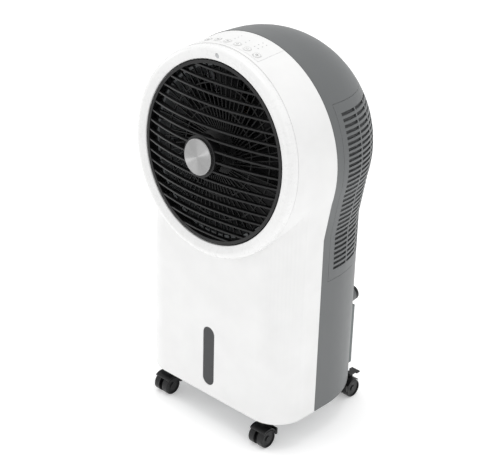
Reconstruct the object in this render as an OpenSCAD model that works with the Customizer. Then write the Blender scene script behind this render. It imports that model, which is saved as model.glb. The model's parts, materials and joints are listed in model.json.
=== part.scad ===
// Evaporative cooler on casters.
// Millimetres, +Z up, floor at z = 0. The outlet faces -Y and the cabinet is symmetric about x = 0.

/* [Cabinet] */
// Width of the lower cabinet
cabinet_w = 396; // [380:1:420]
// Height of the cabinet's lower edge above the floor
base_z = 62; // [60:1:66]
// Height of the outlet's centre above the floor
head_z = 606; // [600:1:620]
// Depth from the front face to the joint between the two shells
seam_y = 110; // [104:1:116]
// Radius of the round head at the joint between the shells
head_r = 221.3; // [218:0.1:226]
// Wall thickness of both shells
wall = 3; // [2.4:0.1:3.6]
// Plan radius of the front vertical corners
front_corner_r = 68; // [60:1:74]
// Plan radius of the long curve from the side towards the rear
side_curve_r = 190; // [180:1:200]
// Plan radius of the tight curve that runs into the flat rear
rear_corner_r = 77; // [70:1:84]
// Slope of the neck between head and cabinet, in degrees
neck_slope = 10; // [8:0.5:12]

/* [Outlet] */
// Backward lean of the outlet, in degrees
outlet_lean = 4.8; // [3:0.1:6]
// Radius of the outlet's opening
opening_r = 181.5; // [180:0.5:183]
// Outer radius of the outlet ring
ring_r = 207.8; // [205:0.1:209]
// Height of the louvre's dome in front of its rim
dome_h = 33; // [28:1:36]
// Number of louvre slats
slat_count = 17; // [13:2:19]
// Spacing of the louvre slats
slat_pitch = 20.3; // [20:0.1:20.6]
// Radius of the metal disc on the hub
hub_cap_r = 35.5; // [32:0.5:37]
// Number of skewed ribs in the fan guard
guard_ribs = 60; // [40:4:64]
// Number of fan blades
blade_count = 7; // [5:1:9]

/* [Intake] */
// Number of rows of intake slots
intake_rows = 31; // [25:1:31]
// Height of one intake slot
slot_h = 6.2; // [5:0.1:6.6]

/* [Tank] */
// Width of the tank's outer face
tank_face_w = 262; // [256:1:264]
// Height of the tank's outer face
tank_face_h = 145; // [140:1:146]

/* [Casters] */
// Wheel diameter
wheel_d = 40; // [38:1:42]
// Distance of each swivel axis from the middle plane
caster_x = 140; // [138:1:144]

/* [Hidden] */
body_w = cabinet_w / 2;
front_y = -138.6;            // cabinet's front face in the row frame
seam_gap = 0.6;              // shadow gap between the two shells
side_end = 150;              // depth at which the straight side ends
rear_turn = 45.8;            // turn of the long curve before the tight one starts, in degrees
curve_run = side_curve_r - rear_corner_r;
rear_y = side_end + curve_run * sin(rear_turn) + rear_corner_r;
drum_z = 599.5;              // height of the round head's centre at the joint
cone_lean = 3.2;             // fall of the head's axis towards the rear, degrees
flare = 0.133;               // growth of the head's radius per millimetre of depth
flare_lean = atan(flare);
neck_dip = 1;                // how far the neck's slope lies inside the head's tangent plane
neck_corner_z = drum_z - (head_r - neck_dip - body_w * cos(neck_slope)) / sin(neck_slope);
neck_run = (head_r - neck_dip - body_w * cos(neck_slope)) / sin(neck_slope) / cos(neck_slope)
    - (head_r - neck_dip) * tan(neck_slope);
overrun = 4;                 // outlines run this far past the joint before they are trimmed
neck_flare = 0.16;           // growth of the neck's half width per millimetre of depth
neck_corner_r = 60;          // plan radius of the neck's front corner
ring_back = 14;              // depth of the outlet ring behind the opening plane
rim_t = 3;                   // thickness of the front shell's rim behind the ring

panel_z0 = 357;              // intake panel, lower edge
panel_z1 = 722;              // intake panel, upper edge
panel_y = 130;               // intake panel, front edge
panel_t = 2.4;
row_pitch = 10.7;
row_z0 = 378;                // lowest intake row
row_y = 144;                 // front end of the intake rows

louvre_r = 179.3;            // outer radius of the louvre
louvre_rim = 173;            // inner radius of the louvre's rim
slat_t = 3;
slat_depth = 10;
dome_r = (louvre_rim * louvre_rim + dome_h * dome_h) / (2 * dome_h);
louvre_hub_r = 41;

// depths in the outlet's frame, measured forwards from the opening plane
guard_z = -20;
shroud_z = -24;
shroud_back = -98;
shroud_r = 166;
fan_back = -90;
fan_front = -50;
fan_r = 160;
bracket_z = -103;
motor_back = -158;
shaft_r = 4;
screw_circle = 190;
screw_count = 6;

tank_z = 68;
tank_h = 118;
tank_w = 250;
tank_y0 = 9;
tank_wall = 2.5;
face_y0 = rear_y - 14;
face_y1 = rear_y + 1.5;
face_z = 67;
face_top = face_z + tank_face_h - 3;
float_y = 25;
drain_x = 80;
drain_z = 84;

pump_x = -92;
pump_y = 262;
hose_x = -110;
hose_z = 197;
hose_r = 4.6;
riser_x = -166;
riser_y = 216;
riser_top = 700;

latch_x = 119.5;
latch_z = 233;
latch_seat = rear_y - 2.7;

pad_y = 196;
pad_z0 = 238;
pad_z1 = 648;
pad_w = 296;
pad_t = 45;

swivel_front = 38;           // depth of the front swivel axes
swivel_rear = 266;           // depth of the rear swivel axes
trail = 22;
wheel_r = wheel_d / 2;
stem_r = 4.95;
socket_r = 5;

button_angles = [-17.25, -10.35, -3.45, 3.45, 10.35, 17.25];
button_along = 40;           // distance of the buttons along the head's axis
button_r = 8;

/* ---- Outlines and forms shared by the shells ---- */

// Points along an arc about a centre, from one angle to another.
function arc(centre, radius, from, to, steps, first = 0) = [
    for (k = [first:steps])
        centre + radius * [cos(from + (to - from) * k / steps), sin(from + (to - from) * k / steps)]
];

// Closes a right-hand half outline with its mirror image.
function both_sides(half) = concat(half, [for (i = [len(half) - 1:-1:0]) if (half[i][0] > 0.01) [-half[i][0], half[i][1]]]);

// An outline with one of its points left out.
function without(points, index) = [for (i = [0:len(points) - 1]) if (i != index) points[i]];

// An inner form reaches a little past the open edge of its shell.
function past(inset) = inset > 0 ? 2 : 0;

// Half plan outline of the rear: straight side, long curve, tight curve and a last chord that runs on past the
// flat rear to the middle. It starts in front of the joint, and both ends are trimmed later. Each form that uses
// it has its own number of steps, so that their edges don't meet in one point.
function rear_half(half_w, inset, steps) =
    let (
        long_c = [half_w - side_curve_r, side_end],
        tight_c = long_c + curve_run * [cos(rear_turn), sin(rear_turn)],
        tight = arc(tight_c, rear_corner_r - inset, rear_turn, 90, steps, 1),
        chord = tight[steps - 1] - tight[steps - 2]
    )
    concat(
        [[half_w - inset, seam_y - overrun]],
        arc(long_c, side_curve_r - inset, 0, rear_turn, steps),
        [for (k = [0:steps - 2]) tight[k]],
        [tight[steps - 1] - chord * tight[steps - 1][0] / chord[0]]
    );

// Half plan outline of the cabinet's front: rounded corner and straight side, running on past the joint.
function front_half(inset) = concat(
    arc([body_w - front_corner_r, front_corner_r], front_corner_r - inset, -90, 0, 14),
    [[body_w - inset, seam_y + overrun]]
);

// Half plan outline of the neck's front: rounded corner and flared side, running on past the joint.
function neck_half(inset) =
    let (
        side = atan(neck_flare),
        corner = arc([
            body_w - neck_corner_r * cos(side) - neck_flare * (seam_y - 69 + neck_corner_r * sin(side)), 69
        ], neck_corner_r - inset, -90, -side, 8),
        last = corner[8]
    )
    concat(corner, [last + (seam_y + overrun - last[1]) * [neck_flare, 1]]);

// A half outline carried up the slope on both sides, from inside the cabinet to the round head.
module necks(half) {
    for (side = [0, 1])
        mirror([side, 0, 0])
            translate([body_w, 0, neck_corner_z])
                rotate([0, neck_slope, 0])
                    translate([-body_w, 0, -60])
                        linear_extrude(neck_run + 66)
                            intersection() {
                                polygon(concat([[0, half[0][1]]], half, [[0, half[len(half) - 1][1]]]));
                                translate([40, -10])
                                    square([400, 500]);
                            }
}

// An upright prism on a half outline and its mirror image, from the cabinet's lower edge up into the head.
module trunk(half, inset) {
    floor_z = base_z - (inset > 0 ? 1 : 0);
    translate([0, 0, floor_z])
        linear_extrude(drum_z - floor_z - 30)
            polygon(both_sides(half));
}

// Outer form of the rear shell, moved inwards by an inset.
module rear_form(inset) {
    intersection() {
        union() {
            trunk(rear_half(body_w, inset, 8), inset);
            translate([0, 0, drum_z])
                rotate([-90, 0, 0])
                    rotate_extrude($fn = 360)
                        polygon(concat([[0, seam_y - overrun]], rear_half(head_r, inset, 9)));
            necks(without(rear_half(body_w, inset, 7), 8));
        }
        block([-260, seam_y + seam_gap - past(inset), 0], [260, rear_y - inset, 900]);
    }
}

// Radius of the head's cone at a distance along its axis.
function cone_r(along) = head_r - flare * (seam_y - along);

// The flared round head behind the outlet ring, moved inwards by an inset.
module head_cone(inset) {
    start = 4;
    full = 125;
    translate([0, 0, head_z])
        rotate([-90 - cone_lean, 0, 0])
            translate([0, 0, start])
                cylinder(h = full, r1 = cone_r(start) - inset, r2 = cone_r(start + full) - inset, $fn = 360);
}

// Outer form of the front shell, moved inwards by an inset.
module front_form(inset) {
    intersection() {
        union() {
            trunk(front_half(inset), inset);
            head_cone(inset);
            necks(neck_half(inset));
        }
        block([-260, -60, 0], [260, seam_y + past(inset), 900]);
    }
}

/* ---- Placement and small shapes ---- */

// Places children that are drawn with depth measured from the cabinet's front face.
module placed() {
    translate([0, front_y, 0])
        children();
}

// Turns children into the outlet's own frame: local +Z blows out to the front, local +Y is up.
module lean() {
    translate([0, 0, head_z])
        rotate([90 - outlet_lean, 0, 0])
            children();
}

// Places children on top of the round head: local +Z leaves the skin, at an angle to the right of the top.
module on_head(angle, along) {
    translate([0, 0, head_z])
        rotate([-90 - cone_lean, 0, 0])
            rotate([0, 0, angle])
                translate([0, -cone_r(along), along])
                    rotate([90 + flare_lean, 0, 0])
                        children();
}

// Copies children round the local Z axis.
module around(count, start = 0) {
    for (i = [0:count - 1])
        rotate([0, 0, start + i * 360 / count])
            children();
}

// Points children along +Y, from a point.
module rearwards(at) {
    translate(at)
        rotate([-90, 0, 0])
            children();
}

// A flat ring standing on z = 0.
module ring(outer, inner, height) {
    linear_extrude(height)
        difference() {
            circle(outer, $fn = 180);
            circle(inner, $fn = 180);
        }
}

// A box given by its low and high corners.
module block(low, high) {
    translate(low)
        cube(high - low);
}

// An upright stadium in the XZ plane whose front face is at y = 0.
module stadium(half_w, height, thick) {
    translate([0, thick, 0])
        rotate([90, 0, 0])
            linear_extrude(thick) {
                for (end = [half_w, height - half_w])
                    translate([0, end])
                        circle(half_w, $fn = 64);
                translate([-half_w, half_w])
                    square([2 * half_w, height - 2 * half_w]);
            }
}

// A quarter bend of solid pipe: starts at the origin going up, ends going along +X.
module bend(pipe_r, bend_r) {
    translate([bend_r, 0, 0])
        rotate([90, 0, 0])
            rotate([0, 0, 90])
                rotate_extrude(angle = 90, $fn = 96)
                    translate([bend_r, 0])
                        circle(pipe_r, $fn = 48);
}

/* ---- Cabinet ---- */

// White front shell: cabinet front, neck and flared head in one skin.
module front_shell() {
    color("white")
        placed()
            difference() {
                front_form(0);
                difference() {
                    front_form(wall);
                    lean()
                        translate([0, 0, -ring_back - rim_t])
                            cylinder(r = 215, h = 60, $fn = 180);
                }
                lean() {
                    translate([0, 0, -ring_back])
                        cylinder(r = 216, h = 80, $fn = 180);
                    translate([0, 0, -40])
                        cylinder(r = opening_r + 2.5, h = 80, $fn = 180);
                    around(screw_count, 30)
                        translate([screw_circle, 0, -30])
                            cylinder(r = 2.1, h = 30, $fn = 24);
                }
                translate([0, -2, 86])
                    stadium(15.7, 137.4, 10);
                block([-78, 38.5, 700], [78, seam_y + 1, 860]);
            }
}

// Ring around the outlet: dished face, rounded lip, hollow back.
module outlet_ring() {
    dish = 16;
    lip = [ring_r - 10, -3.7];
    bead = [opening_r + 3, -0.23];
    color("whitesmoke")
        placed()
            lean()
                difference() {
                    rotate_extrude($fn = 360)
                        difference() {
                            polygon(concat(
                                [[opening_r, -ring_back]],
                                arc(bead, 3, 180, 90 + dish, 4),
                                arc(lip, 10, 90 + dish, 0, 12),
                                [[ring_r, -ring_back]]
                            ));
                            polygon([
                                [opening_r + 5, -ring_back - 1],
                                [opening_r + 5, -4],
                                [ring_r - 10, -1.5],
                                [ring_r - 3, -6],
                                [ring_r - 3, -ring_back - 1]
                            ]);
                        }
                    translate([0, 192.6, -6])
                        cylinder(r = 5, h = 20, $fn = 48);
                }
}

// The zone of the rear shell's skin that the intake panel fills, with a clearance.
module intake_zone(gap) {
    block([-260, panel_y - gap, panel_z0 - gap], [260, 400, panel_z1 + gap]);
}

// Grey rear shell with the openings for the intake panel and the tank.
module rear_shell() {
    color("slategray")
        placed()
            difference() {
                union() {
                    difference() {
                        rear_form(0);
                        rear_form(wall);
                    }
                    for (side = [-1, 1])
                        rearwards([side * latch_x, rear_y - 24, latch_z])
                            cylinder(r = 17, h = 24 + latch_seat - rear_y, $fn = 64);
                }
                intake_zone(0.6);
                block([-tank_face_w / 2 - 0.6, 280, base_z - 2], [tank_face_w / 2 + 0.6, 340, face_top + 1]);
                for (side = [-1, 1]) {
                    rearwards([side * latch_x, rear_y - 30, latch_z])
                        cylinder(r = 4.06, h = 40, $fn = 48);
                    rearwards([side * latch_x, latch_seat, latch_z])
                        cylinder(r = 16.9, h = 12, $fn = 96);
                }
                rearwards([60, rear_y - 10, 262])
                    cylinder(r = 7, h = 20, $fn = 48);
            }
}

// Floor of the cabinet, with the tank's guide rails.
module base_tray() {
    color("dimgray")
        placed()
            difference() {
                union() {
                    translate([0, 0, base_z])
                        linear_extrude(4)
                            intersection() {
                                polygon(both_sides(concat(
                                    [for (k = [0:14]) front_half(wall + 0.2)[k]],
                                    [for (k = [1:17]) rear_half(body_w, wall + 0.2, 8)[k]]
                                )));
                                translate([-260, -10])
                                    square([520, rear_y - wall - 0.2 + 10]);
                            }
                    for (side = [-1, 1]) {
                        translate([side * 127.5 - 1.5, 20, base_z + 3])
                            cube([3, 265, 18]);
                        translate([side * 90 - 3, 20, base_z + 3])
                            cube([6, 265, 2.6]);
                    }
                }
                for (side = [-1, 1], depth = [swivel_front, swivel_rear])
                    translate([side * caster_x, depth, base_z - 1])
                        cylinder(r = 9.05, h = 8, $fn = 48);
            }
}

// Four sockets that hold the caster stems.
module caster_sockets() {
    color("gray")
        placed()
            for (side = [-1, 1], depth = [swivel_front, swivel_rear])
                translate([side * caster_x, depth, base_z])
                    difference() {
                        cylinder(r = 9, h = 26, $fn = 48);
                        translate([0, 0, -1])
                            cylinder(r = socket_r, h = 24, $fn = 48);
                    }
}

// Dark window that shows the water level.
module water_window() {
    color("dimgray")
        placed() {
            translate([0, 0.4, 86.35])
                stadium(15.35, 136.7, 2.4);
            translate([0, 3, 83])
                stadium(18.7, 143.4, 1.6);
        }
}

// Gland where the cable leaves the cabinet.
module cord_gland() {
    color("black")
        placed()
            rearwards([60, rear_y - 8, 262])
                difference() {
                    union() {
                        cylinder(r = 6.9, h = 16, $fn = 48);
                        translate([0, 0, 8])
                            cylinder(r = 11, h = 3, $fn = 48);
                    }
                    translate([0, 0, -1])
                        cylinder(r = 3.6, h = 20, $fn = 32);
                }
}

/* ---- Controls ---- */

// Positions of the indicator lights: angle to the right of the top and distance along the head's axis.
light_spots = [
    for (k = [0:2]) [-2.7, 57 + 9 * k],
    for (k = [0:1]) [4.7, 57 + 10 * k],
    for (k = [0:2], c = [10.6, 13.2]) [c, 58 + 11 * k]
];

// Curved control insert in the top of the head.
module control_panel() {
    color("white")
        placed()
            difference() {
                head_cone(0);
                head_cone(2.4);
                block([-260, seam_y, 200], [260, 260, 900]);
                block([-260, -80, 200], [260, 200, 700]);
                block([-260, -80, 600], [-77.6, 200, 900]);
                block([77.6, -80, 600], [260, 200, 900]);
                block([-90, -80, 600], [90, 38.9, 900]);
                for (angle = button_angles)
                    on_head(angle, button_along)
                        translate([0, 0, -10])
                            cylinder(r = button_r + 0.35, h = 20, $fn = 64);
                for (spot = light_spots)
                    on_head(spot[0], spot[1])
                        translate([0, 0, -10])
                            cylinder(r = 1.3, h = 20, $fn = 24);
            }
}

// One round push button: a cap in the panel, a flange behind it and a stem to the switch.
module push_button(index) {
    color("whitesmoke")
        placed()
            on_head(button_angles[index], button_along) {
                translate([0, 0, -4.6])
                    cylinder(r = button_r, h = 5.2, $fn = 64);
                translate([0, 0, -4.6])
                    cylinder(r = button_r + 2, h = 1.6, $fn = 64);
                translate([0, 0, -7])
                    cylinder(r = 2, h = 3, $fn = 32);
            }
}

module swing_button() push_button(0);
module timer_button() push_button(1);
module mode_button() push_button(2);
module cool_button() push_button(3);
module speed_button() push_button(4);
module power_button() push_button(5);

// Small light lenses flush with the control panel.
module indicator_lights() {
    color("lightgray")
        placed()
            for (spot = light_spots)
                on_head(spot[0], spot[1])
                    translate([0, 0, -3.4])
                        cylinder(r = 1.2, h = 3.5, $fn = 24);
}

// Circuit board under the control panel.
module control_board() {
    color("darkgreen")
        placed() {
            block([-62, 44, 784], [62, 104, 785.6]);
            for (side = [-1, 1])
                block([side * 40 - 12, 76, 772], [side * 40 + 12, 98, 784]);
        }
}

// Receiver window for the remote control, in the ring above the outlet.
module ir_window() {
    color("silver")
        placed()
            lean()
                translate([0, 192.6, -3])
                    cylinder(r = 4.9, h = 7.2, $fn = 48);
}

/* ---- Louvre, guard and fan ---- */

// One louvre slat: a thin level plate whose front edge follows the dome.
module slat(height) {
    half = sqrt(louvre_rim * louvre_rim - height * height) + 2;
    arc = sqrt(dome_r * dome_r - height * height);
    translate([0, height + slat_t / 2, 0])
        rotate([90, 0, 0])
            linear_extrude(slat_t)
                intersection() {
                    translate([0, dome_h - dome_r])
                        difference() {
                            circle(arc, $fn = 720);
                            circle(arc - slat_depth, $fn = 720);
                        }
                    translate([-half, -12])
                        square([2 * half, 60]);
                }
}

// Turning louvre: rim, level slats and hub in one black moulding.
module outlet_grille() {
    color("black")
        placed()
            lean()
                difference() {
                    union() {
                        translate([0, 0, -12])
                            ring(louvre_r, louvre_rim, 13);
                        for (i = [0:slat_count - 1])
                            slat((i - (slat_count - 1) / 2) * slat_pitch);
                        translate([0, 0, 12])
                            cylinder(r = louvre_hub_r, h = 21.1, $fn = 120);
                        translate([0, 0, -8])
                            cylinder(r = 9, h = 24, $fn = 48);
                    }
                    translate([0, 0, -9])
                        cylinder(r = 3.05, h = 32, $fn = 48);
                }
}

// Spun metal disc on the louvre's hub.
module hub_cap() {
    color("silver")
        placed()
            lean()
                translate([0, 0, 33.2]) {
                    cylinder(r = hub_cap_r, h = 4.5, $fn = 120);
                    translate([0, 0, 4.5])
                        cylinder(r1 = hub_cap_r, r2 = hub_cap_r - 1.2, h = 1, $fn = 120);
                }
}

// Shaft from the louvre motor to the louvre's hub.
module grille_shaft() {
    color("silver")
        placed()
            lean()
                translate([0, 0, -36])
                    cylinder(r = 3, h = 58, $fn = 48);
}

// Slow synchronous motor behind the guard that turns the louvre.
module swing_motor() {
    color("silver")
        placed()
            lean()
                difference() {
                    union() {
                        translate([0, 0, -40])
                            cylinder(r = 25, h = 16, $fn = 72);
                        translate([0, 0, -24])
                            cylinder(r = 6, h = 2, $fn = 48);
                    }
                    translate([0, 0, -37])
                        cylinder(r = 3.06, h = 30, $fn = 48);
                }
}

// Fan guard: rim, two rings, hub plate and skewed ribs.
module fan_guard() {
    hub = 46;
    skew = 30;
    color("black")
        placed()
            lean()
                translate([0, 0, guard_z])
                    difference() {
                        union() {
                            linear_extrude(3) {
                                difference() {
                                    circle(199, $fn = 180);
                                    circle(171, $fn = 180);
                                }
                                difference() {
                                    circle(hub, $fn = 96);
                                    circle(6.5, $fn = 48);
                                }
                                for (mid = [88, 134])
                                    difference() {
                                        circle(mid + 1.2, $fn = 180);
                                        circle(mid - 1.2, $fn = 180);
                                    }
                                around(guard_ribs)
                                    translate([hub - 3, 0])
                                        rotate([0, 0, skew])
                                            translate([0, -1])
                                                square([135, 2]);
                            }
                        }
                        around(screw_count, 30)
                            translate([screw_circle, 0, -1])
                                cylinder(r = 2.1, h = 5, $fn = 24);
                    }
}

// Duct around the fan, with the flange that bolts behind the guard.
module fan_shroud() {
    color("gray")
        placed()
            lean()
                difference() {
                    union() {
                        translate([0, 0, shroud_z])
                            ring(199, shroud_r, guard_z - shroud_z);
                        translate([0, 0, shroud_back])
                            ring(shroud_r + 3, shroud_r, shroud_z - shroud_back);
                        around(4, 45)
                            translate([shroud_r + 1, -9, shroud_back])
                                cube([10, 18, 8]);
                    }
                    around(screw_count, 30)
                        translate([screw_circle, 0, shroud_z - 1])
                            cylinder(r = 2.1, h = 6, $fn = 24);
                }
}

// Screws that hold shroud and guard to the front shell.
module guard_screws() {
    color("silver")
        placed()
            lean()
                around(screw_count, 30)
                    translate([screw_circle, 0, 0]) {
                        translate([0, 0, shroud_z - 2.6])
                            cylinder(r = 4, h = 2.6, $fn = 32);
                        translate([0, 0, shroud_z])
                            cylinder(r = 2, h = 9.4, $fn = 24);
                    }
}

// One fan blade: a curved sheet, trimmed to a swept outline.
module blade() {
    sheet = 2.4;
    curve = 110;
    intersection() {
        translate([0, 38, 23])
            rotate([0, 90, 0])
                translate([0, 0, 20])
                    linear_extrude(150)
                        difference() {
                            circle(curve + sheet, $fn = 180);
                            circle(curve, $fn = 180);
                        }
        translate([0, 0, fan_back + 2])
            linear_extrude(fan_front - fan_back - 4)
                intersection() {
                    difference() {
                        circle(fan_r, $fn = 180);
                        circle(30, $fn = 90);
                    }
                    polygon([[20, -34], [fan_r + 20, -44], [fan_r + 20, 62], [110, 52], [20, 26]]);
                }
    }
}

// Axial fan: cup hub and swept blades.
module fan() {
    color("black")
        placed()
            lean()
                difference() {
                    union() {
                        translate([0, 0, fan_back])
                            cylinder(r = 38, h = fan_front - fan_back, $fn = 96);
                        around(blade_count)
                            blade();
                    }
                    translate([0, 0, fan_back - 1])
                        ring(34, 12, 34);
                    translate([0, 0, fan_back - 1])
                        cylinder(r = shaft_r + 0.05, h = 34, $fn = 48);
                }
}

// Motor shaft that carries the fan.
module fan_shaft() {
    color("silver")
        placed()
            lean()
                translate([0, 0, motor_back - 6])
                    cylinder(r = shaft_r, h = fan_back + 30 - motor_back + 6, $fn = 48);
}

// Fan motor: can with end bell.
module fan_motor() {
    color("gray")
        placed()
            lean()
                difference() {
                    union() {
                        translate([0, 0, motor_back])
                            cylinder(r = 42, h = bracket_z - motor_back, $fn = 96);
                        translate([0, 0, motor_back - 4])
                            cylinder(r = 14, h = 6, $fn = 64);
                        translate([0, 0, motor_back + 10])
                            cylinder(r = 44, h = 30, $fn = 96);
                    }
                    translate([0, 0, motor_back - 6])
                        cylinder(r = shaft_r + 0.06, h = 80, $fn = 48);
                    around(4)
                        translate([34, 0, bracket_z - 8])
                            cylinder(r = 2.1, h = 10, $fn = 24);
                }
}

// Four-armed bracket between motor and shroud.
module motor_bracket() {
    color("silver")
        placed()
            lean()
                translate([0, 0, bracket_z])
                    difference() {
                        union() {
                            linear_extrude(5) {
                                circle(44, $fn = 96);
                                around(4, 45)
                                    translate([30, -9])
                                        square([146, 18]);
                            }
                        }
                        translate([0, 0, -1])
                            cylinder(r = 14, h = 8, $fn = 64);
                        around(4)
                            translate([34, 0, -1])
                                cylinder(r = 2.1, h = 8, $fn = 24);
                    }
}

// Screws that hold the motor to its bracket.
module motor_screws() {
    color("silver")
        placed()
            lean()
                around(4)
                    translate([34, 0, bracket_z]) {
                        translate([0, 0, 5])
                            cylinder(r = 4, h = 2.6, $fn = 32);
                        translate([0, 0, -6])
                            cylinder(r = 2, h = 11, $fn = 24);
                    }
}

/* ---- Water and cooling ---- */

// Cooling pad.
module cooling_pad() {
    color("peru")
        placed()
            block([-pad_w / 2, pad_y, pad_z0], [pad_w / 2, pad_y + pad_t, pad_z1]);
}

// Frame that carries the pad, with two cross bars in front of it.
module pad_frame() {
    rim = 5;
    color("gray")
        placed() {
            difference() {
                block([-pad_w / 2 - rim, pad_y - 4, pad_z0 - rim], [pad_w / 2 + rim, pad_y + pad_t + 4, pad_z1 + rim]);
                block([-pad_w / 2 - 0.2, pad_y - 0.2, pad_z0 - 0.2],
                    [pad_w / 2 + 0.2, pad_y + pad_t + 0.2, pad_z1 + 0.2]);
                block([-pad_w / 2 + 6, pad_y - 5, pad_z0 + 6], [pad_w / 2 - 6, pad_y + pad_t + 5, pad_z1 - 6]);
            }
        }
}

// Trough above the pad with a row of drip holes.
module water_distributor() {
    base = pad_z1 + 5.4;
    color("gray")
        placed()
            difference() {
                block([-146, pad_y, base], [146, pad_y + pad_t - 5, base + 26]);
                block([-143, pad_y + 3, base + 3], [143, pad_y + pad_t - 8, base + 27]);
                for (i = [-6:6])
                    translate([i * 20, pad_y + 20, base - 1])
                        cylinder(r = 2, h = 6, $fn = 24);
            }
}

// Pipe from the tank's coupling up to the trough, with a socket that faces the rear.
module riser_pipe() {
    pipe = 5;
    run = hose_x - riser_x;
    color("lightgray")
        placed() {
            difference() {
                rearwards([hose_x, riser_y, hose_z])
                    cylinder(r = 7.2, h = 26, $fn = 48);
                rearwards([hose_x, riser_y + 8, hose_z])
                    cylinder(r = 5, h = 30, $fn = 48);
            }
            translate([riser_x, riser_y + 6, hose_z])
                rotate([0, 90, 0])
                    cylinder(r = pipe, h = run - 5, $fn = 48);
            translate([riser_x, riser_y + 6, hose_z])
                sphere(r = pipe, $fn = 48);
            translate([riser_x, riser_y + 6, hose_z])
                cylinder(r = pipe, h = riser_top - 10 - hose_z, $fn = 48);
            translate([riser_x, riser_y + 6, riser_top - 10])
                bend(pipe, 10);
            translate([riser_x + 10, riser_y + 6, riser_top])
                rotate([0, 90, 0])
                    cylinder(r = pipe, h = 22, $fn = 48);
            translate([riser_x + 32, riser_y + 6, riser_top])
                sphere(r = pipe, $fn = 48);
            translate([riser_x + 32, riser_y + 6, riser_top - 16])
                cylinder(r = pipe, h = 16, $fn = 48);
        }
}

// Water tank: open tub with a post for the level float.
module water_tank() {
    inner_y1 = face_y0 - tank_wall;
    color("lightgray")
        placed() {
            difference() {
                block([-tank_w / 2, tank_y0, tank_z], [tank_w / 2, face_y0, tank_z + tank_h]);
                block([-tank_w / 2 + tank_wall, tank_y0 + tank_wall, tank_z + tank_wall],
                    [tank_w / 2 - tank_wall, inner_y1, tank_z + tank_h + 1]);
                rearwards([drain_x, inner_y1 - 1, drain_z])
                    cylinder(r = 8, h = 10, $fn = 48);
            }
            translate([0, float_y, tank_z + 1])
                cylinder(r = 2, h = tank_h - 6, $fn = 32);
        }
}

// Outer face of the tank with a finger recess and a well for the drain plug.
module tank_face() {
    half = tank_face_w / 2;
    color("dimgray")
        placed()
            difference() {
                block([-half, face_y0, face_z], [half, face_y1, face_top]);
                block([-50, face_y1 - 9, face_top - 42], [50, face_y1 + 1, face_top - 16]);
                rearwards([drain_x, face_y0 - 1, drain_z])
                    cylinder(r = 8, h = 30, $fn = 48);
                rearwards([drain_x, face_y1 - 8, drain_z])
                    cylinder(r = 11.5, h = 30, $fn = 64);
            }
}

// Ring-shaped float that rides on the post in the tank.
module level_float() {
    color("orangered")
        placed()
            translate([0, float_y, tank_z + 4])
                difference() {
                    cylinder(r = 10, h = 14, $fn = 64);
                    translate([0, 0, -1])
                        cylinder(r = 2.45, h = 16, $fn = 32);
                }
}

// Drain plug in the tank's face.
module drain_plug() {
    color("black")
        placed() {
            rearwards([drain_x, face_y0 - 5, drain_z])
                cylinder(r = 7.94, h = 16, $fn = 48);
            rearwards([drain_x, face_y1 - 7.5, drain_z])
                cylinder(r = 11, h = 5, $fn = 64);
            translate([drain_x - 8, face_y1 - 3, drain_z - 1.5])
                cube([16, 5, 3]);
        }
}

// Submersible pump standing in the tank.
module pump_body() {
    color("black")
        placed()
            translate([pump_x, pump_y, tank_z + tank_wall])
                difference() {
                    cylinder(r = 24, h = 40, $fn = 96);
                    translate([0, 0, 4])
                        cylinder(r = 17, h = 12, $fn = 96);
                    translate([0, 0, -1])
                        cylinder(r = 7, h = 6, $fn = 48);
                    translate([0, 0, 10])
                        cylinder(r = 2.06, h = 20, $fn = 32);
                }
}

// Pump impeller with its shaft.
module pump_impeller() {
    color("white")
        placed()
            translate([pump_x, pump_y, tank_z + tank_wall]) {
                translate([0, 0, 12])
                    cylinder(r = 15, h = 2, $fn = 72);
                translate([0, 0, 7])
                    cylinder(r = 4, h = 6, $fn = 48);
                around(6)
                    translate([3, -0.8, 6])
                        cube([11, 1.6, 7]);
                translate([0, 0, 13])
                    cylinder(r = 2, h = 15, $fn = 32);
            }
}

// Hose from the pump to the coupling, ending in a spigot that faces the front.
module pump_hose() {
    bend_r = 9;
    top = tank_z + tank_wall + 40;
    color("lightgray")
        placed() {
            translate([hose_x, pump_y, top])
                cylinder(r = hose_r, h = hose_z - bend_r - top, $fn = 48);
            translate([hose_x, pump_y, hose_z - bend_r])
                rotate([0, 0, -90])
                    bend(hose_r, bend_r);
            rearwards([hose_x, pump_y - bend_r - 20, hose_z])
                cylinder(r = hose_r, h = 20, $fn = 48);
        }
}

// Tank latch: round knob with a tongue that turns down over the tank's face.
module latch(side) {
    color("black")
        placed()
            rearwards([side * latch_x, latch_seat, latch_z]) {
                translate([0, 0, -12])
                    cylinder(r = 4, h = 14, $fn = 48);
                translate([0, 0, 0.4])
                    cylinder(r = 16, h = 9, $fn = 96);
                translate([side > 0 ? -30 : 0, -5, 4.6])
                    cube([30, 10, 3.6]);
                translate([-13, -2, 9])
                    cube([26, 4, 2.4]);
            }
}

module latch_right() latch(1);
module latch_left() latch(-1);

/* ---- Intake ---- */

// Wrap-round intake panel: a skin with rows of slots between upright ribs.
module intake_panel() {
    rib = 3.6;
    side_cols = [[row_y, 186], [186 + rib, 230], [230 + rib, 262]];
    rear_col = 42;
    color("slategray")
        placed()
            difference() {
                rear_form(0);
                rear_form(panel_t);
                block([-260, 0, 0], [260, 400, panel_z0]);
                block([-260, 0, panel_z1], [260, 400, 900]);
                block([-260, 0, 0], [260, panel_y, 900]);
                for (i = [0:intake_rows - 1])
                    translate([0, 0, row_z0 + i * row_pitch]) {
                        for (col = side_cols)
                            translate([-260, col[0], 0])
                                cube([520, col[1] - col[0], slot_h]);
                        for (k = [-2:2])
                            translate([k * (rear_col + rib) - rear_col / 2, 270, 0])
                                cube([rear_col, 60, slot_h]);
                    }
            }
}

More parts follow.
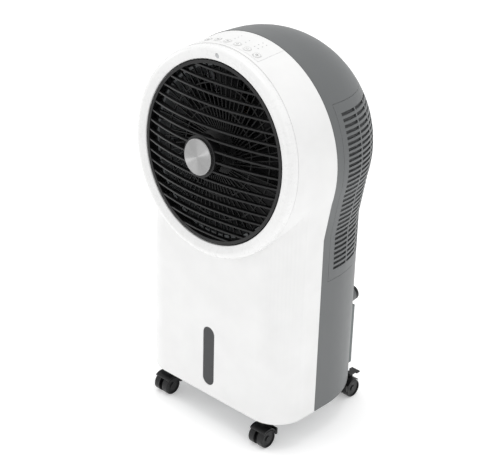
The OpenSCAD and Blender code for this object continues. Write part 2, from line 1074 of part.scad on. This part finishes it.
// Framed dust net behind the flat rear of the intake panel.
module dust_filter() {
    half = 104;
    low_z = 368;
    high_z = 672;
    bar = 6;
    step_x = (2 * half - bar) / 3;
    step_z = (high_z - low_z - bar) / 4;
    color("darkgray")
        placed()
            difference() {
                block([-half, rear_y - 13, low_z], [half, rear_y - 7, high_z]);
                for (i = [0:2], k = [0:3])
                    translate([-half + bar + i * step_x, rear_y - 20, low_z + bar + k * step_z])
                        cube([step_x - bar, 12, step_z - bar]);
            }
}

/* ---- Casters ---- */

// Places a caster at its swivel axis, wheels trailing away from the cabinet's middle.
module at_caster(side, rear) {
    placed()
        translate([side * caster_x, rear ? swivel_rear : swivel_front, 0])
            mirror([0, rear ? 1 : 0, 0])
                children();
}

// Swivelling hood of a twin-wheel caster: stem, neck, web between the wheels and a fender over them.
module caster_hood(side, rear) {
    color("black")
        at_caster(side, rear)
            difference() {
                union() {
                    translate([0, 0, 50])
                        cylinder(r = stem_r, h = 32, $fn = 48);
                    translate([0, 0, 36])
                        cylinder(r = 9, h = 22, $fn = 48);
                    translate([0, 0, 57])
                        cylinder(r = 15, h = 3.4, $fn = 64);
                    translate([-4, -trail, wheel_r])
                        rotate([0, 90, 0])
                            cylinder(r = 11, h = 8, $fn = 64);
                    block([-4, -trail, wheel_r - 6], [4, 4, 43]);
                    difference() {
                        translate([-20, -trail, wheel_r])
                            rotate([0, 90, 0])
                                linear_extrude(40)
                                    difference() {
                                        circle(wheel_r + 3.6, $fn = 96);
                                        circle(wheel_r + 1.4, $fn = 96);
                                    }
                        block([-21, -trail - 30, -10], [21, -trail + 30, wheel_r + 2]);
                        block([-21, -trail - 30, -10], [21, -trail - 14, 60]);
                    }
                    block([-20, 0.5, 22], [20, 4, 36]);
                    if (rear)
                        for (ear = [-1, 1])
                            translate([ear * 9 - 1.5, -trail - 6, 42])
                                cube([3, 8, 8]);
                }
                translate([-25, -trail, wheel_r])
                    rotate([0, 90, 0])
                        cylinder(r = 3.05, h = 50, $fn = 48);
                if (rear)
                    translate([-12, -trail - 2, 47])
                        rotate([0, 90, 0])
                            cylinder(r = 1.56, h = 24, $fn = 32);
            }
}

// Pair of wheels on their axle.
module caster_wheels(side, rear) {
    color("black")
        at_caster(side, rear)
            translate([0, -trail, wheel_r])
                rotate([0, 90, 0]) {
                    translate([0, 0, -18])
                        cylinder(r = 3, h = 36, $fn = 48);
                    for (end = [0, 1])
                        mirror([0, 0, end])
                            translate([0, 0, 4.6])
                                difference() {
                                    union() {
                                        cylinder(r = wheel_r, h = 13.4, $fn = 96);
                                        translate([0, 0, 13.4])
                                            cylinder(r1 = wheel_r, r2 = wheel_r - 1.6, h = 1.6, $fn = 96);
                                    }
                                    translate([0, 0, 13])
                                        ring(wheel_r - 3.4, 7, 4);
                                }
                }
}

// Foot lever of a rear caster's brake.
module brake_lever(side) {
    color("black")
        at_caster(side, true)
            difference() {
                union() {
                    translate([-7, -trail - 2, 47])
                        rotate([0, 90, 0])
                            cylinder(r = 3, h = 14, $fn = 48);
                    translate([-7, -trail - 24, 45.6])
                        cube([14, 22, 2.8]);
                    translate([-11, -trail - 30, 45.6])
                        cube([22, 10, 2.8]);
                    translate([-9.9 - 2.4, -trail - 2, 47])
                        rotate([0, 90, 0])
                            cylinder(r = 1.5, h = 24.6, $fn = 32);
                }
            }
}

module caster_hood_fl() caster_hood(-1, false);
module caster_hood_fr() caster_hood(1, false);
module caster_hood_rl() caster_hood(-1, true);
module caster_hood_rr() caster_hood(1, true);
module caster_wheels_fl() caster_wheels(-1, false);
module caster_wheels_fr() caster_wheels(1, false);
module caster_wheels_rl() caster_wheels(-1, true);
module caster_wheels_rr() caster_wheels(1, true);
module brake_lever_rl() brake_lever(-1);
module brake_lever_rr() brake_lever(1);

front_shell();
outlet_ring();
rear_shell();
base_tray();
caster_sockets();
water_window();
cord_gland();
control_panel();
swing_button();
timer_button();
mode_button();
cool_button();
speed_button();
power_button();
indicator_lights();
control_board();
ir_window();
outlet_grille();
hub_cap();
grille_shaft();
swing_motor();
fan_guard();
fan_shroud();
guard_screws();
fan();
fan_shaft();
fan_motor();
motor_bracket();
motor_screws();
cooling_pad();
pad_frame();
water_distributor();
riser_pipe();
water_tank();
tank_face();
level_float();
drain_plug();
pump_body();
pump_impeller();
pump_hose();
latch_left();
latch_right();
intake_panel();
dust_filter();
caster_hood_fl();
caster_hood_fr();
caster_hood_rl();
caster_hood_rr();
caster_wheels_fl();
caster_wheels_fr();
caster_wheels_rl();
caster_wheels_rr();
brake_lever_rl();
brake_lever_rr();
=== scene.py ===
"""Looks of the evaporative cooler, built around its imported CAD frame. Metres, +Z up, front towards -Y."""
import json
import math

import bpy
from mathutils import Matrix, Vector


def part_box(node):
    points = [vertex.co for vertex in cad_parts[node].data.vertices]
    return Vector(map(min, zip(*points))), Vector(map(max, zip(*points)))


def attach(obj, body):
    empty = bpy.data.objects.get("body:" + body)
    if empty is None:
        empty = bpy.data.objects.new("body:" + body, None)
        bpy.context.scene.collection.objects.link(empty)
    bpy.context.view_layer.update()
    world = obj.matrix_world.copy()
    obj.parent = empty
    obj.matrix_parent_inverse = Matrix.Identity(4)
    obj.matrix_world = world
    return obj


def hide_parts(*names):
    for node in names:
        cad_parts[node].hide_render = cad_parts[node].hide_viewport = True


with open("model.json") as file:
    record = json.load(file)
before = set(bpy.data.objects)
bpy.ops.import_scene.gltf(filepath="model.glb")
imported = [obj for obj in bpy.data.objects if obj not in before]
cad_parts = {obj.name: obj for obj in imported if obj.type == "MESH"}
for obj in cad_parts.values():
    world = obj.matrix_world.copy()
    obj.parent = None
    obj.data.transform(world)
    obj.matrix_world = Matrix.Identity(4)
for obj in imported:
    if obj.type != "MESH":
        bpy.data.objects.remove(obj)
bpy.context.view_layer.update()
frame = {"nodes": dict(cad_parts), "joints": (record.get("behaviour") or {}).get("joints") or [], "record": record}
NODES = frame["nodes"]
JOINTS = {joint["name"]: joint for joint in frame["joints"]}
MM = 0.001

# ---------------------------------------------------------------- places taken from the frame

WALL_GAP = 3.2 * MM                                  # the base tray sits this far inside the shells' skin
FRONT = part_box("base_tray")[0].y - WALL_GAP          # the cabinet's front face
HEAD = Vector(JOINTS["grille_turn"]["pos_m"])        # centre of the outlet
OUT = Vector(JOINTS["grille_turn"]["axis"]).normalized()   # direction that the outlet blows in


# ---------------------------------------------------------------- camera, lights and floor

def add_camera():
    """The photograph's viewpoint: right of the front, looking down."""
    azimuth, elevation, roll = math.radians(42.6), math.radians(26.14), math.radians(1.691)
    distance = 2.7063
    target = Vector((0, FRONT + 0.1152, 0.3956))
    back = Vector((
        math.sin(azimuth) * math.cos(elevation),
        -math.cos(azimuth) * math.cos(elevation),
        math.sin(elevation),
    ))
    right = Vector((math.cos(azimuth), math.sin(azimuth), 0))
    up = back.cross(right)
    turned_right = math.cos(roll) * right + math.sin(roll) * up
    turned_up = math.cos(roll) * up - math.sin(roll) * right
    data = bpy.data.cameras.new("camera")
    data.lens = 95.785
    data.sensor_width = 36
    data.clip_end = 50
    camera = bpy.data.objects.new("camera", data)
    bpy.context.scene.collection.objects.link(camera)
    turn = Matrix((turned_right, turned_up, back)).transposed().to_4x4()
    camera.matrix_world = Matrix.Translation(target + distance * back) @ turn
    bpy.context.scene.camera = camera


def add_area_light(name, place, aim, size, power):
    """A square soft box."""
    data = bpy.data.lights.new(name, "AREA")
    data.shape = "SQUARE"
    data.size = size
    data.energy = power
    light = bpy.data.objects.new(name, data)
    bpy.context.scene.collection.objects.link(light)
    direction = Vector(aim) - Vector(place)
    light.rotation_euler = direction.to_track_quat("-Z", "Y").to_euler()
    light.location = place


def add_world(strength):
    """Even white surroundings."""
    world = bpy.data.worlds.new("surroundings")
    world.use_nodes = True
    background = world.node_tree.nodes["Background"]
    background.inputs["Color"].default_value = (1, 1, 1, 1)
    background.inputs["Strength"].default_value = strength
    bpy.context.scene.world = world


def add_floor():
    """Plain pale floor under the wheels, with a faint glow that keeps its shadows light."""
    half = 9.0
    mesh = bpy.data.meshes.new("floor")
    corners = [(-half, -half, 0), (half, -half, 0), (half, half, 0), (-half, half, 0)]
    mesh.from_pydata(corners, [], [(0, 1, 2, 3)])
    floor = bpy.data.objects.new("floor", mesh)
    bpy.context.scene.collection.objects.link(floor)
    material = bpy.data.materials.new("floor_paint")
    material.use_nodes = True
    shader = material.node_tree.nodes["Principled BSDF"]
    shader.inputs["Base Color"].default_value = (0.93, 0.93, 0.93, 1)
    shader.inputs["Roughness"].default_value = 0.9
    shader.inputs["Specular IOR Level"].default_value = 0.2
    shader.inputs["Emission Color"].default_value = (1, 1, 1, 1)
    shader.inputs["Emission Strength"].default_value = 0.27
    mesh.materials.append(material)


# ---------------------------------------------------------------- material building blocks

class Recipe:
    """A node material under construction, with short calls for the nodes it is made of."""

    def __init__(self, name, **sockets):
        self.material = bpy.data.materials.new(name)
        self.material.use_nodes = True
        self.tree = self.material.node_tree
        self.shader = self.tree.nodes["Principled BSDF"]
        for key, value in sockets.items():
            self.shader.inputs[key.replace("_", " ")].default_value = value
        self.place = self.node("ShaderNodeTexCoord").outputs["Object"]

    def node(self, kind, links=None, **settings):
        made = self.tree.nodes.new(kind)
        for key, value in settings.items():
            setattr(made, key, value)
        for key, source in (links or {}).items():
            if isinstance(source, bpy.types.NodeSocket):
                self.tree.links.new(source, made.inputs[key])
            else:
                made.inputs[key].default_value = source
        return made

    def stretched(self, scale):
        return self.node("ShaderNodeMapping", {"Vector": self.place, "Scale": scale}).outputs["Vector"]

    def noise(self, size, detail=3.0, roughness=0.55, vector=None):
        """Noise whose blotches are about size metres across."""
        return self.node("ShaderNodeTexNoise", {
            "Vector": vector or self.place, "Scale": 1 / size, "Detail": detail, "Roughness": roughness,
        }).outputs["Fac"]

    def ramp(self, value, low, high, from_low=0.0, from_high=1.0):
        return self.node("ShaderNodeMapRange", {
            "Value": value, "From Min": from_low, "From Max": from_high, "To Min": low, "To Max": high,
        }).outputs["Result"]

    def math(self, operation, a, b=0.0):
        made = self.node("ShaderNodeMath", {0: a, 1: b}, operation=operation)
        return made.outputs["Value"]

    def vector(self, operation, a, b):
        return self.node("ShaderNodeVectorMath", {0: a, 1: b}, operation=operation).outputs["Vector"]

    def mix(self, fac, a, b):
        made = self.tree.nodes.new("ShaderNodeMix")
        made.data_type = "RGBA"
        colour_sockets = {"Factor": 0, "A": 6, "B": 7}
        for key, source in (("Factor", fac), ("A", a), ("B", b)):
            socket = made.inputs[colour_sockets[key]]
            if isinstance(source, bpy.types.NodeSocket):
                self.tree.links.new(source, socket)
            else:
                socket.default_value = source
        return made.outputs[2]

    def set(self, key, source):
        self.tree.links.new(source, self.shader.inputs[key])

    def soft_edges(self, radius):
        """Normal with edges rounded by a radius."""
        return self.node("ShaderNodeBevel", {"Radius": radius}, samples=4).outputs["Normal"]

    def edge_mask(self, radius):
        """1 on sharp edges, 0 on flat skin."""
        bent = self.soft_edges(radius)
        true = self.node("ShaderNodeNewGeometry").outputs["Normal"]
        dot = self.node("ShaderNodeVectorMath", {0: bent, 1: true}, operation="DOT_PRODUCT").outputs["Value"]
        return self.ramp(dot, 1.0, 0.0, 0.75, 0.995)

    def bump(self, height, depth, normal=None):
        links = {"Height": height, "Strength": 1.0, "Distance": depth}
        if normal is not None:
            links["Normal"] = normal
        return self.node("ShaderNodeBump", links).outputs["Normal"]


def rgb(colour, gain=1.0):
    return (colour[0] * gain, colour[1] * gain, colour[2] * gain, 1)


def moulded(name, colour, roughness, grain=0.5 * MM, depth=0.012 * MM, blotch=0.06, wear_and_highlight=0.05, edge=0.7 * MM,
            spread=0.05, **sockets):
    """Moulded plastic: spark-eroded grain, uneven gloss, slight flow marks, and edges lightened in colour, partly
    as handling wear and partly as painted highlight.
    """
    recipe = Recipe(name, **sockets)
    flow = recipe.noise(blotch, 2.0)
    colour_now = recipe.mix(recipe.ramp(flow, 0, 1, 0.3, 0.7), rgb(colour, 0.975), rgb(colour, 1.02))
    # Lighter colour on edges: partly handling wear, partly a painted highlight where edges would catch the light.
    worn_and_highlit = tuple(min(1.0, c + wear_and_highlight) for c in colour)
    recipe.set("Base Color", recipe.mix(recipe.edge_mask(edge), colour_now, rgb(worn_and_highlit)))
    gloss = recipe.math("ADD", recipe.ramp(recipe.noise(blotch / 4, 4.0), -spread, spread), roughness)
    recipe.set("Roughness", gloss)
    recipe.set("Normal", recipe.bump(recipe.noise(grain, 2.0), depth, recipe.soft_edges(edge)))
    return recipe.material


def spun_disc(name, colour):
    """Aluminium turned on a lathe: fine concentric grooves that draw the light into rays."""
    recipe = Recipe(name, Metallic=1.0, Anisotropic=0.97)
    centred = recipe.vector("SUBTRACT", recipe.place, tuple(HEAD))
    across = recipe.vector("CROSS_PRODUCT", centred, tuple(OUT))
    radius = recipe.node("ShaderNodeVectorMath", {0: across}, operation="LENGTH").outputs["Value"]
    groove = recipe.node("ShaderNodeTexNoise", {
        "W": radius, "Scale": 9000.0, "Detail": 3.0,
    }, noise_dimensions="1D").outputs["Fac"]
    recipe.set("Base Color", recipe.mix(groove, rgb(colour, 0.8), rgb(colour, 1.1)))
    recipe.set("Roughness", recipe.ramp(groove, 0.4, 0.5))
    recipe.set("Normal", recipe.bump(groove, 0.004 * MM, recipe.soft_edges(0.5 * MM)))
    tangent = recipe.node("ShaderNodeVectorMath", {0: across}, operation="NORMALIZE").outputs["Vector"]
    recipe.set("Tangent", tangent)
    return recipe.material


def drawn_steel(name, colour, roughness=0.3):
    """Turned or drawn steel with fine lines and light smudges."""
    recipe = Recipe(name, Metallic=1.0)
    lines = recipe.noise(0.6 * MM, 3.0, vector=recipe.stretched((1, 12, 1)))
    smudge = recipe.noise(9 * MM, 3.0)
    recipe.set("Base Color", recipe.mix(smudge, rgb(colour, 0.85), rgb(colour, 1.08)))
    recipe.set("Roughness", recipe.math("ADD", recipe.ramp(smudge, -0.07, 0.1), roughness))
    recipe.set("Normal", recipe.bump(lines, 0.01 * MM, recipe.soft_edges(0.4 * MM)))
    return recipe.material


def smoked_window(name, colour):
    """Smoked clear moulding."""
    recipe = Recipe(name, IOR=1.49, Specular_IOR_Level=0.3)
    haze = recipe.noise(12 * MM, 3.0)
    recipe.set("Base Color", recipe.mix(haze, rgb(colour, 0.9), rgb(colour, 1.15)))
    recipe.set("Roughness", recipe.ramp(haze, 0.24, 0.36))
    recipe.set("Normal", recipe.bump(recipe.noise(1.2 * MM), 0.006 * MM, recipe.soft_edges(0.8 * MM)))
    return recipe.material


def paper_pad(name, colour):
    """Waxed cellulose paper."""
    recipe = Recipe(name, Sheen_Weight=0.2)
    fibre = recipe.noise(1.5 * MM, 5.0, 0.7)
    stain = recipe.noise(40 * MM, 3.0)
    wet = recipe.mix(recipe.ramp(stain, 0, 1, 0.35, 0.7), rgb(colour, 0.7), rgb(colour, 1.15))
    recipe.set("Base Color", recipe.mix(recipe.ramp(fibre, 0, 0.5), wet, rgb(colour, 1.4)))
    recipe.set("Roughness", recipe.ramp(fibre, 0.75, 0.95))
    recipe.set("Normal", recipe.bump(fibre, 0.15 * MM))
    return recipe.material


def woven_net(name, colour):
    """Fine plastic net: two sets of threads."""
    recipe = Recipe(name)
    threads = []
    for band in ("X", "Z"):
        wave = recipe.node("ShaderNodeTexWave", {
            "Vector": recipe.place, "Scale": 160.0,
        }, bands_direction=band)
        threads.append(wave.outputs["Fac"])
    weave = recipe.math("MAXIMUM", threads[0], threads[1])
    recipe.set("Base Color", recipe.mix(weave, rgb(colour, 0.35), rgb(colour, 1.2)))
    recipe.set("Roughness", recipe.ramp(recipe.noise(6 * MM), 0.55, 0.8))
    recipe.set("Normal", recipe.bump(weave, 0.3 * MM))
    return recipe.material


def circuit_board(name, colour):
    """Solder mask over copper tracks."""
    recipe = Recipe(name, Coat_Weight=0.4, Coat_Roughness=0.15)
    tracks = recipe.node("ShaderNodeTexBrick", {
        "Vector": recipe.place, "Scale": 60.0, "Mortar Size": 0.03,
    }).outputs["Fac"]
    recipe.set("Base Color", recipe.mix(tracks, rgb(colour), rgb(colour, 2.2)))
    recipe.set("Roughness", recipe.ramp(recipe.noise(4 * MM), 0.3, 0.5))
    recipe.set("Normal", recipe.bump(tracks, 0.05 * MM))
    return recipe.material


def build_materials():
    """One material for each slot of the record."""
    return {
        "white_plastic": moulded("white_plastic", (0.79, 0.79, 0.787), 0.34,
                                 Coat_Weight=0.15, Coat_Roughness=0.2),
        "white_ring": moulded("white_ring", (0.81, 0.81, 0.807), 0.28, grain=0.35 * MM, depth=0.003 * MM,
                              wear_and_highlight=0.01, edge=0.25 * MM, Coat_Weight=0.25, Coat_Roughness=0.15),
        "button_white": moulded("button_white", (0.77, 0.77, 0.765), 0.36, blotch=0.01),
        "panel_white": moulded("panel_white", (0.77, 0.77, 0.767), 0.38, grain=0.3 * MM),
        "grey_plastic": moulded("grey_plastic", (0.126, 0.132, 0.134), 0.42, grain=0.45 * MM, depth=0.02 * MM,
                                wear_and_highlight=0.05, Specular_IOR_Level=0.4),
        "window_grey": smoked_window("window_grey", (0.045, 0.046, 0.048)),
        # The lighter edges here are mostly painted highlight, seen along the thin louvre slat edges.
        "black_plastic": moulded("black_plastic", (0.008, 0.008, 0.0085), 0.36, wear_and_highlight=0.055, edge=0.8 * MM,
                                 grain=0.4 * MM, Specular_IOR_Level=0.32),
        "guard_black": moulded("guard_black", (0.008, 0.008, 0.0085), 0.42, wear_and_highlight=0.02, edge=0.4 * MM,
                               Specular_IOR_Level=0.25),
        "fan_black": moulded("fan_black", (0.012, 0.012, 0.013), 0.4, wear_and_highlight=0.015, Specular_IOR_Level=0.25),
        "spun_metal": spun_disc("spun_metal", (0.46, 0.46, 0.46)),
        "steel": drawn_steel("steel", (0.62, 0.62, 0.64)),
        "zinc_plate": drawn_steel("zinc_plate", (0.55, 0.56, 0.58), 0.42),
        "motor_case": moulded("motor_case", (0.10, 0.105, 0.11), 0.45, depth=0.03 * MM, Metallic=0.6),
        "board_green": circuit_board("board_green", (0.02, 0.09, 0.04)),
        "light_lens": moulded("light_lens", (0.42, 0.43, 0.43), 0.3, blotch=0.005),
        "ir_grey": moulded("ir_grey", (0.47, 0.48, 0.49), 0.3, blotch=0.006,
                           Coat_Weight=0.5, Coat_Roughness=0.1),
        "pad_brown": paper_pad("pad_brown", (0.30, 0.19, 0.10)),
        "frame_grey": moulded("frame_grey", (0.16, 0.17, 0.175), 0.5, depth=0.03 * MM),
        "pipe_clear": moulded("pipe_clear", (0.55, 0.58, 0.60), 0.22, blotch=0.02, Transmission_Weight=0.4),
        "tank_clear": moulded("tank_clear", (0.55, 0.58, 0.61), 0.4, Transmission_Weight=0.25),
        "tank_grey": moulded("tank_grey", (0.14, 0.16, 0.16), 0.45, grain=0.45 * MM, depth=0.02 * MM),
        "float_orange": moulded("float_orange", (0.75, 0.16, 0.03), 0.45, blotch=0.006),
        "rubber_black": moulded("rubber_black", (0.02, 0.02, 0.02), 0.7, depth=0.03 * MM, wear_and_highlight=0.02),
        "pump_black": moulded("pump_black", (0.02, 0.02, 0.023), 0.5, depth=0.03 * MM),
        "net_grey": woven_net("net_grey", (0.05, 0.052, 0.054)),
        "wheel_black": moulded("wheel_black", (0.007, 0.007, 0.0075), 0.34, wear_and_highlight=0.03, blotch=0.01,
                               Specular_IOR_Level=0.35),
        "icon_grey": moulded("icon_grey", (0.22, 0.225, 0.23), 0.5, blotch=0.004, edge=0.1 * MM),
        "icon_dark": moulded("icon_dark", (0.06, 0.06, 0.065), 0.5, blotch=0.004, edge=0.1 * MM),
    }


MATERIALS = build_materials()


# ---------------------------------------------------------------- CAD nodes: shading and materials

def smooth_group(limit):
    """Geometry nodes that weld the skin and shade it smooth, except over edges sharper than a limit."""
    tree = bpy.data.node_groups.new("even_shading", "GeometryNodeTree")
    tree.interface.new_socket("Geometry", in_out="INPUT", socket_type="NodeSocketGeometry")
    tree.interface.new_socket("Geometry", in_out="OUTPUT", socket_type="NodeSocketGeometry")
    entry = tree.nodes.new("NodeGroupInput")
    weld = tree.nodes.new("GeometryNodeMergeByDistance")
    weld.inputs["Distance"].default_value = 0.005 * MM
    angle = tree.nodes.new("GeometryNodeInputMeshEdgeAngle")
    sharp = tree.nodes.new("FunctionNodeCompare")
    sharp.operation = "GREATER_THAN"
    sharp.inputs[1].default_value = math.radians(limit)
    faces = tree.nodes.new("GeometryNodeSetShadeSmooth")
    edges = tree.nodes.new("GeometryNodeSetShadeSmooth")
    edges.domain = "EDGE"
    edges.inputs["Shade Smooth"].default_value = False
    leave = tree.nodes.new("NodeGroupOutput")
    link = tree.links.new
    link(entry.outputs[0], weld.inputs["Geometry"])
    link(weld.outputs["Geometry"], faces.inputs["Geometry"])
    link(faces.outputs["Geometry"], edges.inputs["Geometry"])
    link(angle.outputs["Unsigned Angle"], sharp.inputs[0])
    link(sharp.outputs["Result"], edges.inputs["Selection"])
    link(edges.outputs["Geometry"], leave.inputs[0])
    return tree


SMOOTHING = smooth_group(16)


def dress_cad():
    """Gives every CAD node its slot's material and even shading."""
    slots = {part["node"]: part["material_slot"] for part in frame["record"]["subparts"]}
    for name, obj in NODES.items():
        for slot in obj.material_slots:
            slot.material = MATERIALS[slots[name]]
        shade = obj.modifiers.new("even_shading", "NODES")
        shade.node_group = SMOOTHING
        flat = obj.modifiers.new("flat_faces", "WEIGHTED_NORMAL")
        flat.keep_sharp = True


# ---------------------------------------------------------------- pieces on the control panel

def icon_outlines():
    """Simple icons for the six buttons, as lists of strokes in units of the icon's half size."""
    def polar(radius, angle, centre=(0, 0)):
        return (centre[0] + radius * math.cos(math.radians(angle)),
                centre[1] + radius * math.sin(math.radians(angle)))

    def turn(radius, start, end, centre=(0, 0), steps=24):
        return [polar(radius, start + (end - start) * k / steps, centre) for k in range(steps + 1)]

    petals = [turn(0.42, a - 100, a + 80, polar(0.42, a)) for a in (90, 210, 330)]
    drop = [(0, 1)] + turn(0.62, 35, -215, (0, -0.35)) + [(0, 1)]
    return {
        "swing": [
            turn(0.9, 200, 340),
            [(-0.85, -0.3), (-0.5, -0.15)],
            [(0.85, -0.3), (0.5, -0.15)],
            [(0, 0.8), (0, -0.3)],
        ],
        "timer": [turn(0.85, 0, 360), [(0, 0.5), (0, 0), (0.4, -0.2)]],
        "mode": [[(x / 8, 0.35 * math.sin(x * 0.8) + lift) for x in range(-7, 8)] for lift in (0.4, -0.3)],
        "cool": [drop],
        "speed": petals,
        "power": [turn(0.8, 125, 415), [(0, 1), (0, 0.1)]],
    }


def key_frame(node, joint):
    """Matrix at the middle of a button's cap: local +Z leaves the cap, +Y points to the rear."""
    outward = -Vector(JOINTS[joint]["axis"]).normalized()
    heights = [(v.co.dot(outward), v.co) for v in NODES[node].data.vertices]
    top = max(height for height, _ in heights)
    cap = [co for height, co in heights if height > top - 0.05 * MM]
    centre = sum(cap, Vector()) / len(cap)
    centre += (top - centre.dot(outward)) * outward
    right = Vector((0, 1, 0)).cross(outward).normalized()
    up = outward.cross(right)
    turn = Matrix((right, up, outward)).transposed().to_4x4()
    return Matrix.Translation(centre) @ turn


def strokes_to_mesh(name, strokes, matrix, size, width, material, lift=0.02 * MM):
    """Thin raised strokes as one mesh."""
    curve = bpy.data.curves.new(name, "CURVE")
    curve.dimensions = "3D"
    curve.bevel_depth = width / 2
    curve.bevel_resolution = 1
    for stroke in strokes:
        spline = curve.splines.new("POLY")
        spline.points.add(len(stroke) - 1)
        for point, (x, y) in zip(spline.points, stroke):
            point.co = (x * size, y * size, lift, 1)
    holder = bpy.data.objects.new(name + "_curve", curve)
    bpy.context.scene.collection.objects.link(holder)
    bpy.context.view_layer.update()
    mesh = bpy.data.meshes.new_from_object(holder.evaluated_get(bpy.context.evaluated_depsgraph_get()))
    bpy.data.objects.remove(holder)
    mesh.transform(matrix)
    mesh.materials.clear()
    mesh.materials.append(material)
    piece = bpy.data.objects.new(name, mesh)
    bpy.context.scene.collection.objects.link(piece)
    return piece


def add_icons():
    """Icons and rings on the button caps."""
    angles = [math.radians(a) for a in range(0, 361, 10)]
    circle = [(math.cos(a), math.sin(a)) for a in angles]
    icon_size, ring_size = 3.0 * MM, 6.6 * MM
    for key, strokes in icon_outlines().items():
        matrix = key_frame(key + "_button", key + "_press")
        dark = key == "power"
        ink = MATERIALS["icon_dark" if dark else "icon_grey"]
        width = (0.75 if dark else 0.5) * MM
        icon = strokes_to_mesh(key + "_icon", strokes, matrix, icon_size, width, ink)
        edge = strokes_to_mesh(
            key + "_icon_ring", [circle], matrix, ring_size, 0.3 * MM, MATERIALS["icon_grey"])
        for piece in (icon, edge):
            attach(piece, "button_" + key)


# ---------------------------------------------------------------- cooling pad

def add_pad():
    """Cooling pad of corrugated paper: upright sheets whose flutes cross at a slant from sheet to sheet."""
    low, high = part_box("cooling_pad")
    pitch, step, wave, slant = 7 * MM, 3.5 * MM, 2.9 * MM, 12 * MM
    sheets = int((high.x - low.x - 2 * wave) / pitch)
    rows = int((high.z - low.z) / step)
    vertices, faces = [], []
    for i in range(sheets + 1):
        start = len(vertices)
        lean = slant if i % 2 else -slant
        for k in range(rows + 1):
            for side, depth in enumerate((low.y, (low.y + high.y) / 2, high.y)):
                phase = (k * step + lean * side) / (4 * step)
                swing = wave * (4 * abs(phase - math.floor(phase + 0.5)) - 1)
                vertices.append((low.x + wave + i * pitch + swing, depth, low.z + k * step))
        for k in range(rows):
            for side in range(2):
                a = start + 3 * k + side
                faces.append((a, a + 1, a + 4, a + 3))
    mesh = bpy.data.meshes.new("pad_flutes")
    mesh.from_pydata(vertices, [], faces)
    mesh.materials.append(MATERIALS["pad_brown"])
    pad = bpy.data.objects.new("pad_flutes", mesh)
    bpy.context.scene.collection.objects.link(pad)
    paper = pad.modifiers.new("paper", "SOLIDIFY")
    paper.thickness = 0.35 * MM
    paper.offset = 0
    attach(pad, "cabinet")
    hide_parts("cooling_pad")


# ---------------------------------------------------------------- net behind the intake slots

DRUM_Z = HEAD.z - 6.5 * MM                           # centre height of the rear's round part


def intake_outline(half_width, rear):
    """Plan outline just inside the intake panel, from one front edge round the rear to the other."""
    side_radius, corner_radius, turn = 190 * MM, 77 * MM, math.radians(45.8)
    inset = 3.4 * MM
    run = side_radius - corner_radius
    corner = Vector((half_width - side_radius + run * math.cos(turn), rear - corner_radius))
    side = corner - run * Vector((math.cos(turn), math.sin(turn)))
    half = [Vector((half_width - inset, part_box("intake_panel")[0].y + 2 * MM))]
    curves = ((side, side_radius, 0, turn), (corner, corner_radius, turn, math.pi / 2))
    for centre, radius, start, end in curves:
        for k in range(9):
            angle = start + (end - start) * k / 8
            half.append(centre + (radius - inset) * Vector((math.cos(angle), math.sin(angle))))
    return half + [Vector((-point.x, point.y)) for point in reversed(half)]


def add_intake_net():
    """Fine dust net lining the wrap-round intake panel."""
    low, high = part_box("intake_panel")
    margin, step = 3 * MM, 9 * MM
    levels = int((high.z - low.z - 2 * margin) / step)
    skin = [v.co for v in NODES["intake_panel"].data.vertices]
    vertices, faces = [], []
    for level in range(levels + 1):
        z = low.z + margin + level * step
        half_width = max(co.x for co in skin if abs(co.z - z) < step)
        above = max(0.0, z - DRUM_Z)
        outline = intake_outline(high.x if above else half_width, high.y)
        for point in outline:
            across = math.sqrt(max(0.0, point.x ** 2 - above ** 2))
            vertices.append((math.copysign(across, point.x), point.y, z))
    count = len(outline)
    for level in range(levels):
        for k in range(count - 1):
            a = level * count + k
            faces.append((a, a + 1, a + count + 1, a + count))
    mesh = bpy.data.meshes.new("intake_net")
    mesh.from_pydata(vertices, [], faces)
    mesh.materials.append(MATERIALS["net_grey"])
    net = bpy.data.objects.new("intake_net", mesh)
    bpy.context.scene.collection.objects.link(net)
    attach(net, "intake")


# ---------------------------------------------------------------- assembly

add_camera()
add_world(0.86)
add_area_light("top", (-0.3, 0.1, 3.8), (0, 0, 0.45), 2.0, 40)
add_area_light("side", (3.2, -0.6, 2.4), (0, 0, 0.5), 1.8, 7)
add_area_light("glint", (-2.8, -1.5, 0.95), tuple(HEAD), 0.16, 8)
add_floor()
dress_cad()
add_icons()
add_pad()
add_intake_net()
bpy.context.scene.view_settings.view_transform = "Standard"
